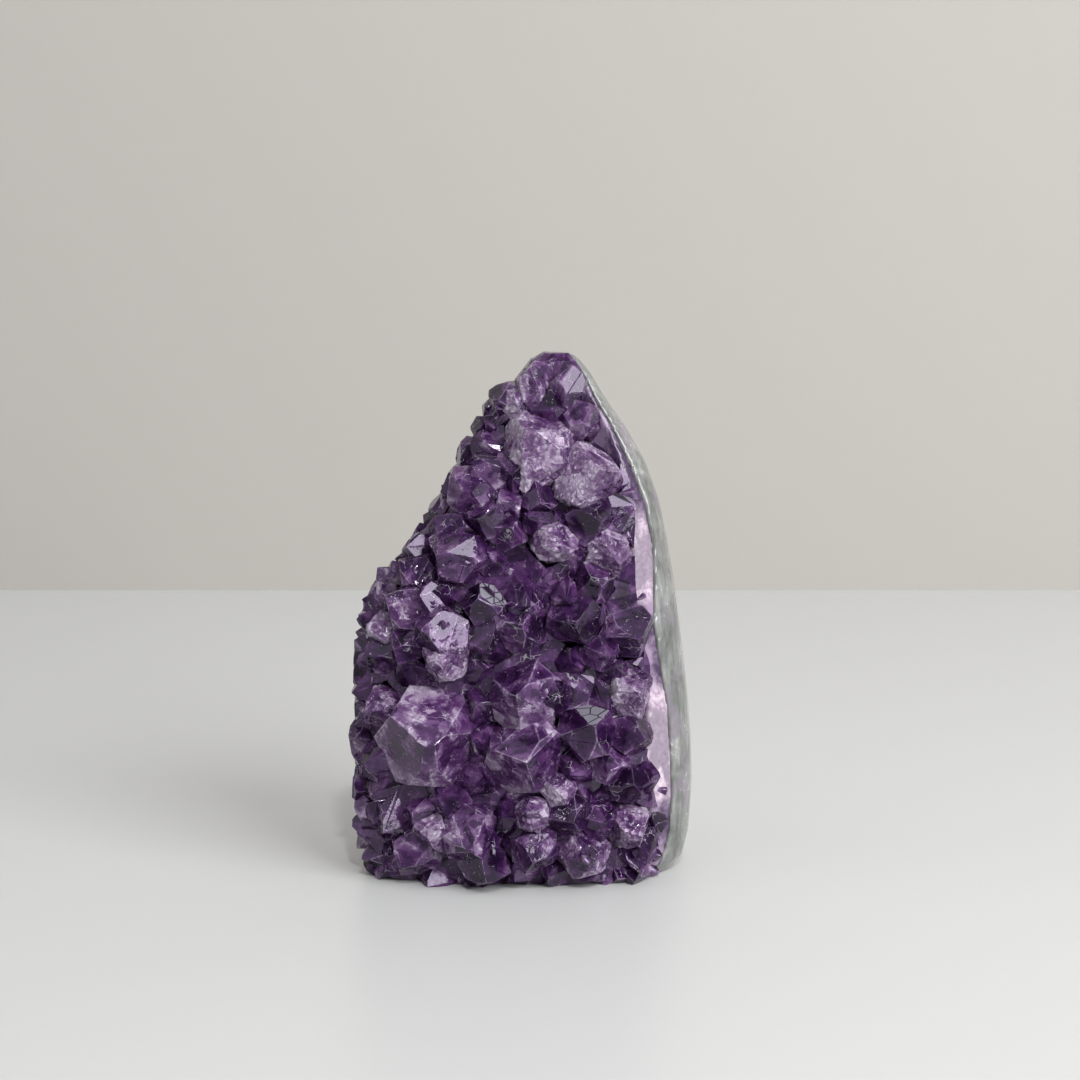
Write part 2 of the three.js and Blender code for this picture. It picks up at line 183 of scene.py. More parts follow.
def addPiece(name, mesh, slot, material, *nodes):
    piece = bpy.data.objects.new(name, mesh)
    bpy.context.scene.collection.objects.link(piece)
    mesh.materials.clear()
    mesh.materials.append(material)
    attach(piece, "root")
    if nodes:
        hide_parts(*nodes)
    return piece


def setAttribute(mesh, name, values, domain="POINT"):
    made = mesh.attributes.new(name, "FLOAT", domain)
    made.data.foreach_set("value", np.asarray(values, np.float32))


crystalLooks = {
    "bevel": (0.014, 0.03),  # share of a crystal's radius
    "tones": {"deep": 0.12, "mid": 0.42, "pale": 0.85},
    "ownTones": {
        "belly_crystal_6": 0.66, "belly_crystal_8": 0.6, "crest_crystal_6": 0.98, "belly_crystal_1": 0.56,
    },
    "plateShare": 0.3,  # of the large tip faces, with raised growth plates
    "plateArea": (9, 45),  # mm2, smallest and largest face that has them
    "chips": 0.5,  # share of crystals with broken corners
    "chisels": {"deep": 4, "mid": 9, "pale": 26},  # broken spots along the edges
    "roughShare": {"deep": 0.4, "mid": 0.48, "pale": 0.72},  # how much of the surface is crumbled
    "ownRoughShare": {
        "belly_crystal_6": 0.2, "belly_crystal_8": 0.3, "middle_crystal_5": 0.1, "belly_crystal_4": 0.1,
    },
    # the normals of the two faces with growth steps that get a light grey painted reflection
    "mirrorFaces": {"middle_crystal_5": (0.55, -0.39, 0.74), "belly_crystal_4": (0.04, -0.33, 0.94)},
    "heartArea": 1.2,  # mm2, a face of this size or more is darker in its middle
    "roughDepth": 0.3,  # mm
    "roughGrain": 0.75,  # mm, the longest side of a crumbled facet
    "closing": 0.9,  # mm that a face goes outwards where the neighbour hid it
    "overrun": 0.8,  # mm that a whole crystal may pass the part that shows
    "trimBack": {"crest_crystal_1": 2.2},  # mm off the thin edge that would lie over the rind
}
druse = {
    "spacing": 2.4,  # mm between neighbouring points
    "smallest": 1.7, "largest": 3.4,  # mm, across half a point
    "tilt": 28,  # degrees
    "sunk": 0.3,  # mm that the points stand below the bed's mean surface
    "clear": 0.34,  # share of a large crystal's radius that stays free of points round it
    "leftSwell": 1.2,  # mm that they stand further out along the lower left flank
    "leftEnd": -30.1,  # mm, where the left flank is ground off
    "stripeFrom": -32,  # degrees, right of this a large crystal's foot is overgrown too
    "bareBand": [(17, 32), (52, 62)],  # mm, heights where the band shows between the points
    "seed": 11,
}
grownPlanes = {}  # of each rebuilt crystal, for the bed sheet
sameWay = 0.9997  # cosine above which two normals count as one
cadGap = 0.3  # mm between two nodes
orderWay = Vector((0.6151, 0.5303, 0.5836))  # elements are sorted along this
tipTilt = math.radians(51.8)  # from the axis to the normal of a tip face
# cosines between two tip faces that are one or two sides apart
tipPairs = [math.cos(tipTilt) ** 2 + math.sin(tipTilt) ** 2 * share for share in (0.5, -0.5)]


def planesOf(mesh):
    # the flat faces of a node in mm: normal, distance, area
    mesh.calc_loop_triangles()
    points = np.array([v.co for v in mesh.vertices]) * 1000
    corners = points[[t.vertices[:] for t in mesh.loop_triangles]]
    cross = np.cross(corners[:, 1] - corners[:, 0], corners[:, 2] - corners[:, 0])
    sizes = np.linalg.norm(cross, axis=1)
    found = []
    for i in np.argsort(-sizes):
        if sizes[i] < 1e-5:
            continue
        normal = cross[i] / sizes[i]
        distance = normal @ corners[i, 0]
        for face in found:
            if normal @ face[0] > 0.9998 and abs(distance - face[1]) < 0.03:
                face[2] += sizes[i] / 2
                break
        else:
            found.append([normal, distance, sizes[i] / 2])
    return points, sorted(found, key=lambda face: -face[2])


def sixDirections(axis, first):
    flat = Vector(first - axis * (first @ axis)).normalized()
    return [np.array(Matrix.Rotation(math.radians(60 * side), 3, Vector(axis)) @ flat) for side in range(6)]


def crystalNormals(axis, first):
    level = sixDirections(axis, first)
    tips = [axis * math.cos(tipTilt) + way * math.sin(tipTilt) for way in level]
    return tips, level


def findCrystal(planes):
    # the axis and a tip normal that explain the most of a node's faces
    most, best = 0, None
    for i, (a, _, _) in enumerate(planes[:14]):
        for b, _, _ in planes[i + 1:14]:
            if min(abs(a @ b - pair) for pair in tipPairs) > 0.004:
                continue
            middle = (a + b) * math.cos(tipTilt) / (1 + a @ b)
            side = np.cross(a, b)
            lift = math.sqrt(max(0, 1 - middle @ middle) / (side @ side))
            for sign in (1, -1):
                axis = middle + side * lift * sign
                tips, level = crystalNormals(axis, a)
                score = sum(area for n, _, area in planes if max(n @ own for own in tips + level) > sameWay)
                if score > most:
                    most, best = score, (axis, a)
    return best


def crystalPlanes(name, known):
    points, planes = known[name]
    best = findCrystal(planes)
    if best is None:
        return None
    axis, first = best
    tips, level = crystalNormals(axis, first)
    own, kept = tips + level, []
    for normal in own:
        distance = (points @ normal).max()
        seen = sum(area for n, d, area in planes if n @ normal > sameWay and abs(d - distance) < 0.05)
        kept.append((normal, distance if seen > 0.4 else distance + crystalLooks["closing"]))
    kept.append((-axis, (points @ -axis).max() + 0.5))
    for signs in itertools.product((-1, 0, 1), repeat=3):  # no corner runs far past the node
        if any(signs):
            way = np.array(signs) / np.linalg.norm(signs)
            kept.append((way, (points @ way).max() + crystalLooks["overrun"]))
    back = np.array((0, 2, 1)) / math.sqrt(5)
    kept.append((back, (points @ back).max() - crystalLooks["trimBack"].get(name, 0)))
    others = [face for other in known if other != name and "crystal" in other for face in known[other][1]]
    for normal, distance, area in planes:
        if area < 0.05 or (points @ normal).max() > distance + 0.02:
            continue  # a sliver, or a hollow
        if max(normal @ way for way in own) > sameWay or normal @ -axis > sameWay:
            continue
        if any(n @ normal < -sameWay and abs(d + distance + cadGap) < 0.05 for n, d, _ in others):
            continue  # a neighbour stood here
        kept.append((normal, distance))  # where the stone was sawn or ground
    return points, axis, kept


def cutBy(shape, normal, distance):
    geometry = shape.verts[:] + shape.edges[:] + shape.faces[:]
    normal = Vector(normal)
    cut = bmesh.ops.bisect_plane(
        shape, geom=geometry, dist=1e-5, plane_co=normal * distance, plane_no=normal, clear_outer=True
    )
    rim = [e for e in cut["geom_cut"] if isinstance(e, bmesh.types.BMEdge)]
    if len(rim) > 2:
        bmesh.ops.holes_fill(shape, edges=rim, sides=0)


def chipCorners(shape, axis, size, dice):
    for _ in range(dice.randint(2, 5)):
        corner = dice.choice(shape.verts[:]).co.copy()
        if (corner - Vector(axis) * corner.dot(Vector(axis))).length < 0.1:
            continue
        centre = sum((v.co for v in shape.verts), Vector()) / len(shape.verts)
        way = (corner - centre).normalized() + Vector([dice.uniform(-0.35, 0.35) for _ in range(3)])
        way.normalize()
        cutBy(shape, way, corner.dot(way) - dice.uniform(0.03, 0.1) * size)


def chiselEdges(shape, axis, size, dice, count):
    # broken spots along the edges of the tip
    for _ in range(count):
        edge = dice.choice([e for e in shape.edges if len(e.link_faces) == 2])
        way = sum((face.normal for face in edge.link_faces), Vector())
        way += Vector([dice.uniform(-0.5, 0.5) for _ in range(3)])
        way.normalize()
        if way.dot(axis) < 0:
            continue
        spot = edge.verts[0].co.lerp(edge.verts[1].co, dice.random())
        cutBy(shape, way, spot.dot(way) - dice.uniform(0.004, 0.03) * size)


def orderPlace(face):
    return face.calc_center_median().dot(orderWay)


def settleOrder(shape):
    # the operators don't leave the elements in the same order in every run
    shape.verts.sort(key=lambda v: v.co.dot(orderWay))
    shape.edges.sort(key=lambda e: (e.verts[0].co + e.verts[1].co).dot(orderWay))
    shape.faces.sort(key=orderPlace)


def raisePlates(shape, axis, dice):
    # growth plates with dark steps between them
    smallest, largest = crystalLooks["plateArea"]
    tips = [f for f in shape.faces if f.calc_area() > smallest and 0.5 < f.normal.dot(axis) < 0.75]
    for face in tips:
        if dice.random() > crystalLooks["plateShare"] or face.calc_area() > largest:
            continue
        normal, centre = face.normal.copy(), face.calc_center_median()
        reach = math.sqrt(face.calc_area())
        parts = [face]
        edge = dice.choice(face.edges[:])
        along = (edge.verts[1].co - edge.verts[0].co).normalized()
        for turn in dice.choice([(0,), (0, 60), (0, 0, 60), (60, 120)]):
            way = Matrix.Rotation(math.radians(turn + 90), 3, normal) @ along
            place = centre + Vector([dice.uniform(-0.3, 0.3) * reach for _ in range(3)])
            # not sets, whose order differs from run to run
            edges = list(dict.fromkeys(e for f in parts for e in f.edges))
            corners = list(dict.fromkeys(v for f in parts for v in f.verts))
            geometry = parts + edges + corners
            bmesh.ops.bisect_plane(shape, geom=geometry, dist=1e-4, plane_co=place, plane_no=way)
            level = [f for f in shape.faces if f.normal.dot(normal) > 0.9999]
            parts = [f for f in level if abs((f.calc_center_median() - centre).dot(normal)) < 1e-3]
            parts.sort(key=orderPlace)
        for part in parts:
            if part.calc_area() < 0.8:
                continue
            step, rise = dice.uniform(0.08, 0.16), dice.uniform(0.0, 0.22)
            bmesh.ops.inset_individual(shape, faces=[part], thickness=step, depth=rise, use_even_offset=False)
        settleOrder(shape)


def roundEdges(shape, offset, segments):
    # the rounded edges are marked, because they are painted lighter: partly wear, partly painted highlight
    wearAndEdgeHighlight = shape.faces.layers.float.new("edge")
    made = bmesh.ops.bevel(
        shape, geom=shape.edges[:], offset=offset, segments=segments, profile=0.6, affect="EDGES",
        clamp_overlap=True,
    )
    for face in made["faces"]:
        face[wearAndEdgeHighlight] = 1
    shape.normal_update()


def setPaintedRimGlow(mesh, axis):
    # a painted glow: how far out from its axis, 1 at the farthest
    corners = np.array([v.co for v in mesh.vertices])
    tip = corners[np.argmax(corners @ axis)]
    out = corners - tip
    out -= np.outer(out @ axis, axis)
    far = np.linalg.norm(out, axis=1)
    shaded = out @ np.array((-0.7, 0, -0.7)) / np.maximum(far, 1e-6)  # the side away from the light glows
    setAttribute(mesh, "rim", np.clip(far / np.percentile(far, 90), 0, 1) * (0.72 + 0.28 * shaded))


def markFaces(shape, least, dice):
    # every face gets a random number, which paints both a tone and a painted reflection that differ from face
    # to face, and the middle of each wide face is marked as its heart
    facet, heart = shape.faces.layers.float.new("facet"), shape.verts.layers.float.new("heart")
    for face in shape.faces:
        face[facet] = dice.random()
    made = bmesh.ops.poke(shape, faces=[face for face in shape.faces if face.calc_area() > least])
    for vertex in made["verts"]:
        vertex[heart] = 1
    settleOrder(shape)


def crumble(shape, share, dice):
    # patches of the surface break up into small facets
    for _ in range(5):
        bmesh.ops.triangulate(shape, faces=[face for face in shape.faces if len(face.verts) > 3])
        long = [edge for edge in shape.edges if edge.calc_length() > crystalLooks["roughGrain"]]
        if not long:
            break
        bmesh.ops.subdivide_edges(shape, edges=long, cuts=1)
        settleOrder(shape)
    bmesh.ops.triangulate(shape, faces=[face for face in shape.faces if len(face.verts) > 3])
    settleOrder(shape)
    start = Vector([dice.uniform(0, 90) for _ in range(3)])
    shape.normal_update()
    for vertex in shape.verts:
        place = vertex.co + start
        patch = noise.noise(place * 0.28) * 0.5 + noise.noise(place * 0.8) * 0.25 + 0.5
        strength = min(max((patch - 1 + share) * 5, 0.06), 1)
        shift = noise.noise_vector(place * 1.1) + noise.noise_vector(place * 2.9) * 0.6
        vertex.co += shift * crystalLooks["roughDepth"] * strength


def growCrystal(name, known):
    found = crystalPlanes(name, known)
    if found is None:
        print("kept as cut:", name)
        return None
    points, axis, planes = found
    dice = random.Random(name)
    shade = slotOf[name].split("_")[1]
    centre = points.mean(axis=0)
    size = float(np.ptp(points, axis=0).max())
    spare = np.ptp(points @ np.cross(axis, (0, 0, 1))) / 2 * druse["clear"]
    grownPlanes[name] = (np.array([n for n, _ in planes]), np.array([d for _, d in planes]), spare)
    shape = bmesh.new()
    bmesh.ops.create_cube(shape, size=4 * size, matrix=Matrix.Translation(Vector(centre)))
    for normal, distance in planes:
        cutBy(shape, normal, distance)
    if dice.random() < crystalLooks["chips"] and name not in crystalLooks["ownTones"]:
        chipCorners(shape, axis, size, dice)
    shape.normal_update()
    chiselEdges(shape, Vector(axis), size, dice, crystalLooks["chisels"][shade])
    bmesh.ops.dissolve_limit(shape, angle_limit=0.01, verts=shape.verts[:], edges=shape.edges[:])
    roundEdges(shape, dice.uniform(*crystalLooks["bevel"]) * spare / druse["clear"] + 0.03, 2)
    raisePlates(shape, Vector(axis), dice)
    bmesh.ops.recalc_face_normals(shape, faces=shape.faces[:])
    # the two listed faces get a painted reflection
    mirror = shape.faces.layers.float.new("mirror")
    paintedReflectionWay = Vector(crystalLooks["mirrorFaces"].get(name, (0, 0, 0)))
    for face in shape.faces:
        face[mirror] = face.normal.dot(paintedReflectionWay) > 0.95
    markFaces(shape, crystalLooks["heartArea"], dice)
    crumble(shape, crystalLooks["ownRoughShare"].get(name, crystalLooks["roughShare"][shade]), dice)
    for vertex in shape.verts:
        vertex.co.z = max(vertex.co.z, 0)
    mesh = bpy.data.meshes.new(name + "_grown")
    shape.to_mesh(mesh)
    shape.free()
    setPaintedRimGlow(mesh, np.array(axis))
    tone = crystalLooks["ownTones"].get(name, crystalLooks["tones"][shade] + dice.uniform(-0.12, 0.12))
    setAttribute(mesh, "tone", np.full(len(mesh.vertices), tone))
    setAttribute(mesh, "seed", np.full(len(mesh.vertices), dice.uniform(0, 50)))
    mesh.transform(Matrix.Scale(mm, 4))
    return mesh


def makeAmethyst():
    f = Finish("amethyst")
    tone, seed, edge, facet = [f.attribute(name) for name in ("tone", "seed", "edge", "facet")]
    heart, rim, mirror = f.attribute("heart"), f.attribute("rim") ** 2.0, f.attribute("mirror")
    at = f.moved(f.place, f.add("ShaderNodeCombineXYZ", {}, {0: seed, 1: seed * 0.7, 2: seed * 1.3}))
    clouds = f.noise(4.5, 3, 0.5, 0.8, at)
    grain = f.noise(0.7, 4, 0.65, 0.4, at)
    drift = f.moved(at, f.scaled(f.noise(2.4, 2, out="Color", at=at), (3, 3, 3)))
    inner = f.add("ShaderNodeSeparateColor", {}, {0: f.cells(2.6, out="Color", at=drift)})
    # facet gives each face its own tone and painted reflection
    level = clouds * 0.7 + inner * 0.22 + facet * 0.16 + grain * 0.16
    # rim paints a glow: lighter towards the outside of each crystal and on the side away from the key lamp
    level = level + tone * 0.42 + rim * 0.3 - heart * 0.12 - 0.09
    colour = f.ramp(level, [
        (0.5, (0.01, 0.0025, 0.016)), (0.66, (0.035, 0.01, 0.055)), (0.8, (0.085, 0.03, 0.115)),
        (0.92, (0.18, 0.095, 0.22)), (1.0, (0.36, 0.27, 0.4)),
    ])
    veins = f.cells(3.4, "DISTANCE_TO_EDGE", at=drift)
    crack = f.between(veins, 0.025, 0.0) * f.between(f.noise(3, 2, at=at), 0.54, 0.66)
    # the rounded edges are painted lighter, partly wear and partly painted highlight
    wearAndEdgeHighlight = edge * f.between(f.noise(2.1, 3, 0.6, 0, at), 0.44, 0.6, 0.06)
    # painted glints: tiny near-white spots in patches
    paintedGlint = f.between(f.cells(0.45, at=at), 0.2, 0.1) * f.between(f.noise(2.6, 3, 0.6, 0, at), 0.53, 0.66)
    colour = f.blend(crack * 0.7, colour, (0.56, 0.5, 0.6))
    colour = f.blend(wearAndEdgeHighlight * 0.38, colour, (0.5, 0.43, 0.56))
    colour = f.blend(paintedGlint * 0.8, colour, (0.85, 0.8, 0.88))
    # a light grey painted reflection on the two marked faces, broken by dark lines along the growth steps
    steps = f.between(f.cells(2.6, "DISTANCE_TO_EDGE", at=f.scaled(at, (1, 1, 1.7))), 0.06, 0.025)
    colour = f.blend(mirror * 0.85, colour, f.blend(steps, (0.3, 0.29, 0.34), (0.015, 0.008, 0.02)))
    wave = f.bump(f.noise(1.1, 3, 0.6, 0.3, at), 0.05, 0.5)
    clear = f.body(
        Base_Color=colour, Roughness=f.between(grain, 0.35, 0.75, 0.05, 0.2), Normal=wave, IOR=1.544,
        Transmission_Weight=0.3, Specular_IOR_Level=0.45, Specular_Tint=(0.86, 0.78, 0.95, 1),
    )
    frosting = clouds * 0.4 + f.noise(1.8, 3, 0.6, 0, at) * 0.8 + tone * 0.34
    frosting = f.between(frosting + rim * 0.1 - heart * 0.12 - mirror, 0.76, 1.04, 0, 0.75)
    sparkle = f.bump(f.shards(0.5, drift), 0.9, 1, wave)
    milky = f.body(
        Base_Color=f.ramp(grain * 0.66 + inner * 0.17 + facet * 0.17, [
            (0.36, (0.025, 0.008, 0.04)), (0.5, (0.14, 0.08, 0.175)), (0.62, (0.55, 0.49, 0.6)),
        ]),
        Roughness=0.14, Normal=sparkle, IOR=1.544,
    )
    mixed = f.add("ShaderNodeMixShader", {}, {0: frosting, 1: clear, 2: milky})
    inside = f.add("ShaderNodeVolumeAbsorption", {}, {"Color": (0.65, 0.25, 0.75, 1), "Density": 60})
    return f.done(mixed, inside)


def makeBand():
    f = Finish("quartz band")
    at = f.moved(f.scaled(f.place, (1, 1, 0.4)), f.scaled(f.noise(2.2, 3, out="Color"), (1.6, 1.6, 1.6)))
    pick = f.add("ShaderNodeSeparateColor", {}, {0: f.cells(2.1, "SMOOTH_F1", "Color", at)})
    grain = f.noise(0.9, 4, 0.6)
    milk = f.between(pick * 0.7 + f.noise(4, 3, 0.5) * 0.6, 0.52, 0.74)
    height = f.add("ShaderNodeSeparateXYZ", {}, {0: f.place}, 2) + f.noise(5, 3) * 10 - 5  # mm, uneven
    # two paler patches, between violet stretches
    low = f.between(height, 12, 17) * f.between(height, 38, 32)
    high = f.between(height, 47, 52) * f.between(height, 69, 62)
    violet = f.blend(f.between(pick * 0.6 + grain * 0.5, 0.4, 0.8), (0.045, 0.02, 0.065), (0.27, 0.2, 0.3))
    grey = f.blend(grain, (0.14, 0.09, 0.15), (0.34, 0.29, 0.35))
    pale = f.blend(f.between(grain, 0.35, 0.6), (0.34, 0.24, 0.34), (0.56, 0.47, 0.54))
    colour = f.blend(low + high, violet, f.blend(milk, grey, pale))
    return f.done(f.body(
        Base_Color=colour, Roughness=f.between(grain, 0.3, 0.7, 0.1, 0.24),
        Normal=f.bump(f.shards(0.9, at), 0.12, 0.6), IOR=1.544,
        Subsurface_Weight=0.2, Subsurface_Scale=0.0015, Subsurface_Radius=(1, 0.9, 1),
    ))


def makeRind():
    f = Finish("rind")
    streaks = f.noise(1.1, 5, 0.65, 0.5, f.scaled(f.place, (1, 1, 0.16)))
    clouds = f.noise(7, 4, 0.6, 0.4)
    colour = f.ramp(streaks * 0.5 + clouds * 0.6, [
        (0.38, (0.06, 0.062, 0.06)), (0.52, (0.13, 0.136, 0.13)),
        (0.62, (0.2, 0.206, 0.2)), (0.74, (0.36, 0.36, 0.355)),
    ])
    lilac = f.between(f.noise(5, 3, 0.5, 0.4, f.moved(f.place, (40, 0, 0))), 0.5, 0.7, 0, 0.55)
    spots = f.cells(1.3, at=f.moved(f.place, f.noise(1, 2, out="Color")))
    specks = f.between(spots, 0.22, 0.12) * f.between(clouds, 0.5, 0.6)
    colour = f.blend(specks * 0.5, f.blend(lilac, colour, (0.17, 0.13, 0.185)), (0.5, 0.5, 0.48))
    return f.done(f.body(
        Base_Color=colour, Roughness=f.between(clouds, 0.3, 0.7, 0.1, 0.28),
        Normal=f.bump(streaks, 0.03, 0.4), IOR=1.54, Coat_Weight=0.5, Coat_Roughness=0.06,
    ))


amethyst, bandFinish, rindFinish = makeAmethyst(), makeBand(), makeRind()
print("finishes written")

known = {name: planesOf(node.data) for name, node in frame["nodes"].items() if "crystal" in name}
for name in sorted(known):
    grown = growCrystal(name, known)
    if grown is None:
        continue
    addPiece(name + "_grown", grown, slotOf[name], amethyst, name)
print("crystals grown:", len(known))


def layerCopy(node, growth):
    # a merged copy of a layer, its faces moved outwards by growth in mm
    shape = bmesh.new()
    shape.from_mesh(frame["nodes"][node].data)
    bmesh.ops.remove_doubles(shape, verts=shape.verts, dist=1e-6)
    shape.normal_update()
    moves = [v.normal * min(v.calc_shell_factor(), 2.5) * growth * mm for v in shape.verts]
    for vertex, move in zip(shape.verts, moves):
        vertex.co += move
        vertex.co.z = max(vertex.co.z, 0)
    mesh = bpy.data.meshes.new(node + "_look")
    shape.to_mesh(mesh)
    shape.free()
    return mesh


def remeshed(mesh, voxel, smoothing):
    temporary = bpy.data.objects.new("temporary", mesh)
    bpy.context.scene.collection.objects.link(temporary)
    remesh = temporary.modifiers.new("remesh", "REMESH")
    remesh.mode, remesh.voxel_size = "VOXEL", voxel * mm
    smooth = temporary.modifiers.new("smooth", "SMOOTH")
    smooth.factor, smooth.iterations = 0.5, smoothing
    graph = bpy.context.evaluated_depsgraph_get()
    made = bpy.data.meshes.new_from_object(temporary.evaluated_get(graph))
    bpy.data.objects.remove(temporary)
    for vertex in made.vertices:
        vertex.co.z = max(vertex.co.z, 0)
    made.shade_smooth()
    return made


layers = {  # mm of growth, mm of voxel, turns of smoothing
    "rock_rind": (0.25, 0.6, 6),
    "quartz_band": (0.1, 0.45, 4),
}
bedGrowth = 0.45  # mm, closes the gaps round the feet of the crystals


def groundLayer(node):
    growth, voxel, smoothing = layers[node]
    return remeshed(layerCopy(node, growth), voxel, smoothing)


rind = groundLayer("rock_rind")
addPiece("rock_rind_ground", rind, "rind", rindFinish, "rock_rind")
band = groundLayer("quartz_band")
addPiece("quartz_band_ground", band, "quartz_band", bandFinish, "quartz_band")
print("rind and band:", len(rind.polygons), len(band.polygons))

bed = layerCopy("druse_bed", bedGrowth)
setAttribute(bed, "tone", np.full(len(bed.vertices), 0.25))
# the bed gets an even share of the painted rim glow
setAttribute(bed, "rim", np.full(len(bed.vertices), 0.4))
setAttribute(bed, "seed", np.zeros(len(bed.vertices)))
setAttribute(bed, "facet", np.random.default_rng(3).random(len(bed.polygons)), "FACE")
addPiece("druse_bed_look", bed, "druse", amethyst, "druse_bed")


sheet = {  # metres and degrees
    "lowest": 0.001, "belowTop": 0.007, "rowStep": 0.0018,
    "angles": (-190, -6, 1.5),
    "slice": 0.006,  # half of the height from which a row's middle is taken
    "outside": 0.08,  # where the rays start
    "bandFrom": -40,  # right of this the points stand on the band
    "crest": 0.06,  # above this more of the band beside the rind stays free
}


def sheetRays(angles):
    # how far out the bed or the band is seen from the middle of each row, and where the band stays bare
    meshes = {name: frame["nodes"][name].data for name in ("rock_rind", "quartz_band", "druse_bed")}
    trees = {
        name: BVHTree.FromPolygons([v.co for v in mesh.vertices], [tuple(p.vertices) for p in mesh.polygons])
        for name, mesh in meshes.items()
    }
    stone = np.array([v.co for mesh in meshes.values() for v in mesh.vertices])
    heights = np.arange(sheet["lowest"], cadHigh.z - sheet["belowTop"], sheet["rowStep"])
    reach = np.full((len(heights), len(angles)), np.nan)
    bare = np.zeros_like(reach)
    middles = []
    for row, z in enumerate(heights):
        near = stone[np.abs(stone[:, 2] - z) < sheet["slice"]]
        low, high = near.min(axis=0), near.max(axis=0)
        middle = Vector((low[0] + high[0], low[1] + high[1], 2 * z)) / 2
        middles.append(middle)
        for column, angle in enumerate(angles):
            way = Vector((math.cos(angle), math.sin(angle), 0))
            start = middle + way * sheet["outside"]
            hits = {name: tree.ray_cast(start, -way, sheet["outside"])[0] for name, tree in trees.items()}
            reaches = {name: (hit - middle).length for name, hit in hits.items() if hit}
            outer = max(reaches, key=reaches.get, default=None)
            if outer == "druse_bed" or (outer == "quartz_band" and angle > -math.pi / 2):
                reach[row, column] = reaches[outer]
                inGap = any(low < z * 1000 < high for low, high in druse["bareBand"])
                bare[row, column] = outer == "quartz_band" and inGap
    return middles, reach, bare


def filledIn(reach, seen):
    # gaps take their neighbours' mean, and the last turns smooth all of it
    filled = np.where(seen, reach, np.nanmean(reach))
    for turn in range(90):
        around = np.pad(filled, 1, mode="edge")
        mean = (around[:-2, 1:-1] + around[2:, 1:-1] + around[1:-1, :-2] + around[1:-1, 2:]) / 4
        filled = np.where(seen, filled * 0.5 + mean * 0.5 if turn > 70 else reach, mean)
    return filled


def underCrystal(spot):
    return any(
        (normals @ spot < distances + spare).all() for normals, distances, spare in grownPlanes.values()
    )


def bedSheet():
    # a smooth sheet through the front of the bed, open where small points may grow
    angles = np.radians(np.arange(*sheet["angles"]))
    middles, reach, bare = sheetRays(angles)
    seen = ~np.isnan(reach)
    filled = filledIn(reach, seen)
    corners, faces, openness = [], [], []
    for row, middle in enumerate(middles):
        for column, angle in enumerate(angles):
            way = Vector((math.cos(angle), math.sin(angle), 0))
            toLeft = min(max((-130 - math.degrees(angle)) / 20, 0), 1)
            swell = druse["leftSwell"] * toLeft * (middle.z < 0.05)
            corner = middle + way * (filled[row, column] + (swell - druse["sunk"]) * mm)
            corners.append(corner)
            ahead = np.array((corner + way * 1.5 * mm) * 1000)
            onStripe = seen[row, column] and angle > math.radians(druse["stripeFrom"])
            hidden = not onStripe and underCrystal(ahead)
            if angle < math.radians(sheet["bandFrom"]):
                onRock = seen[max(row - 1, 0):row + 2, max(column - 2, 0):column + 3].any()
            else:
                margin = 3 if middle.z > sheet["crest"] else -1  # columns
                onRock = seen[row, min(column + margin, len(angles) - 1)]
            openness.append(1 if onRock and not hidden and not bare[row, column] else 0)
    width = len(angles)
    for row in range(len(middles) - 1):
        for column in range(width - 1):
            start = row * width + column
            faces.append((start, start + 1, start + width + 1, start + width))
    mesh = bpy.data.meshes.new("bed sheet")
    mesh.from_pydata(corners, [], faces)
    setAttribute(mesh, "open", openness)
    return mesh


pointLooks = {  # in halves of a point's width
    "sides": (0.86, 1.08),
    "longTips": (0.62, 0.98), "shortTips": (0.5, 0.62),  # three of each, in turn
    "root": 0.9,
    "edge": 0.04,
    "heartArea": 0.3,
}


def pointShape(number):
    # a short quartz point, 1 across half and its tip at the top
    dice = random.Random(number)
    shape = bmesh.new()
    bmesh.ops.create_cube(shape, size=8)
    for side in range(6):
        turn = math.radians(60 * side)
        way = Vector((math.cos(turn), math.sin(turn), 0))
        cutBy(shape, way, dice.uniform(*pointLooks["sides"]))
        tip = way * math.sin(tipTilt) + Vector((0, 0, math.cos(tipTilt)))
        cutBy(shape, tip, dice.uniform(*pointLooks["longTips" if side % 2 else "shortTips"]))
    cutBy(shape, Vector((0, 0, -1)), pointLooks["root"])
    roundEdges(shape, pointLooks["edge"], 1)
    markFaces(shape, pointLooks["heartArea"], dice)
    mesh = bpy.data.meshes.new("point")
    shape.to_mesh(mesh)
    shape.free()
    setPaintedRimGlow(mesh, np.array((0, 0, 1)))
    return bpy.data.objects.new("point", mesh)


